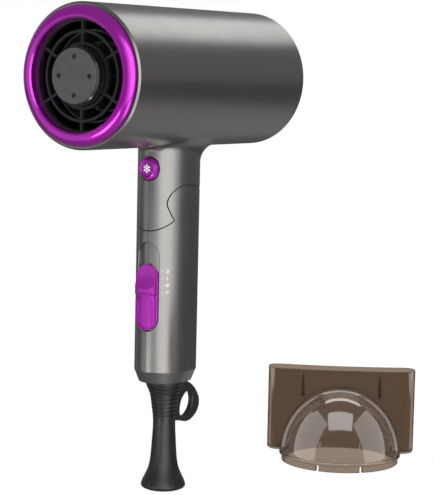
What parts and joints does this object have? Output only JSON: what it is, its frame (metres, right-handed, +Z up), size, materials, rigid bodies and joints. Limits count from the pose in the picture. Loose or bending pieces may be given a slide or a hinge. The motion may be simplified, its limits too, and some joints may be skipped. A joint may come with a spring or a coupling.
{
  "type": "hair dryer with diffuser nozzle",
  "caption": "Folding hair dryer with a barrel head, side-seam hinge, slider and cool-shot button, and a clip-on smoky nozzle with a wide slot mouth.",
  "frame": {"origin": "on the handle's axis at the height of the palm, 100 mm below the barrel's axis", "axes": "+Z up the handle to the barrel, -Y the way the air leaves, +X to the side with the switch marks"},
  "size_m": [0.2029, 0.1654, 0.268],
  "materials": {
    "housing": "metallic warm grey",
    "ring": "metallic purple",
    "black_gloss": "gloss black",
    "hub_grey": "matt dark grey",
    "mica": "mica",
    "coil": "resistance wire",
    "steel": "brushed",
    "black_plastic": "matt black",
    "brass": "plain",
    "mesh": "woven wire",
    "button": "satin purple",
    "slider": "satin purple",
    "rubber": "matt black rubber",
    "board": "circuit board",
    "smoke": "smoky clear plastic",
    "ceramic": "moulded"
  },
  "bodies": {
    "handle": {"handle_left": "housing", "handle_right": "housing", "handle_screws": "steel", "hinge_pin": "steel", "power_switch": "black_plastic", "control_board": "board", "cord_clamp": "black_plastic", "strain_relief": "rubber"},
    "head": {"housing_left": "housing", "housing_right": "housing", "housing_screw": "steel", "outlet_ring": "ring", "outlet_grille": "black_plastic", "hub_cup": "black_gloss", "hub_disc": "hub_grey", "heater_tube": "mica", "mica_frame": "mica", "heating_coil": "coil", "thermostat": "brass", "thermal_fuse": "ceramic", "motor": "steel", "fan_duct": "black_plastic", "ion_generator": "black_plastic", "rear_ring": "black_gloss", "cool_switch": "black_plastic"},
    "rotor": {"fan_impeller": "black_plastic", "motor_shaft": "steel"},
    "cover": {"intake_cover": "black_gloss", "intake_filter": "mesh"},
    "button": {"cool_button": "button"},
    "switch_slider": {"slider": "slider"},
    "nozzle": {"diffuser_nozzle": "smoke", "nozzle_vanes": "black_gloss"}
  },
  "joints": [
    {"name": "fold", "type": "hinge", "parent": "handle", "child": "head", "pos_m": [0, 0.0155, 0.0385], "axis": [-1, 0, 0], "range_deg": [0, 90]},
    {"name": "fan_spin", "type": "hinge", "parent": "head", "child": "rotor", "pos_m": [0, 0.05, 0.1], "axis": [0, 1, 0], "continuous": true},
    {"name": "cover_pull", "type": "slide", "parent": "head", "child": "cover", "axis": [0, 1, 0], "range_m": [0, 0.02]},
    {"name": "button_press", "type": "slide", "parent": "head", "child": "button", "axis": [0, 1, 0], "range_m": [0, 0.002], "stiffness_N_per_m": 400, "springref_m": -0.001},
    {"name": "slider_move", "type": "slide", "parent": "handle", "child": "switch_slider", "axis": [0, 0, 1], "range_m": [0, 0.0114]},
    {"name": "nozzle_lift", "type": "slide", "parent": "handle", "child": "nozzle", "axis": [0, 0, 1], "range_m": [0, 0.08]}
  ]
}
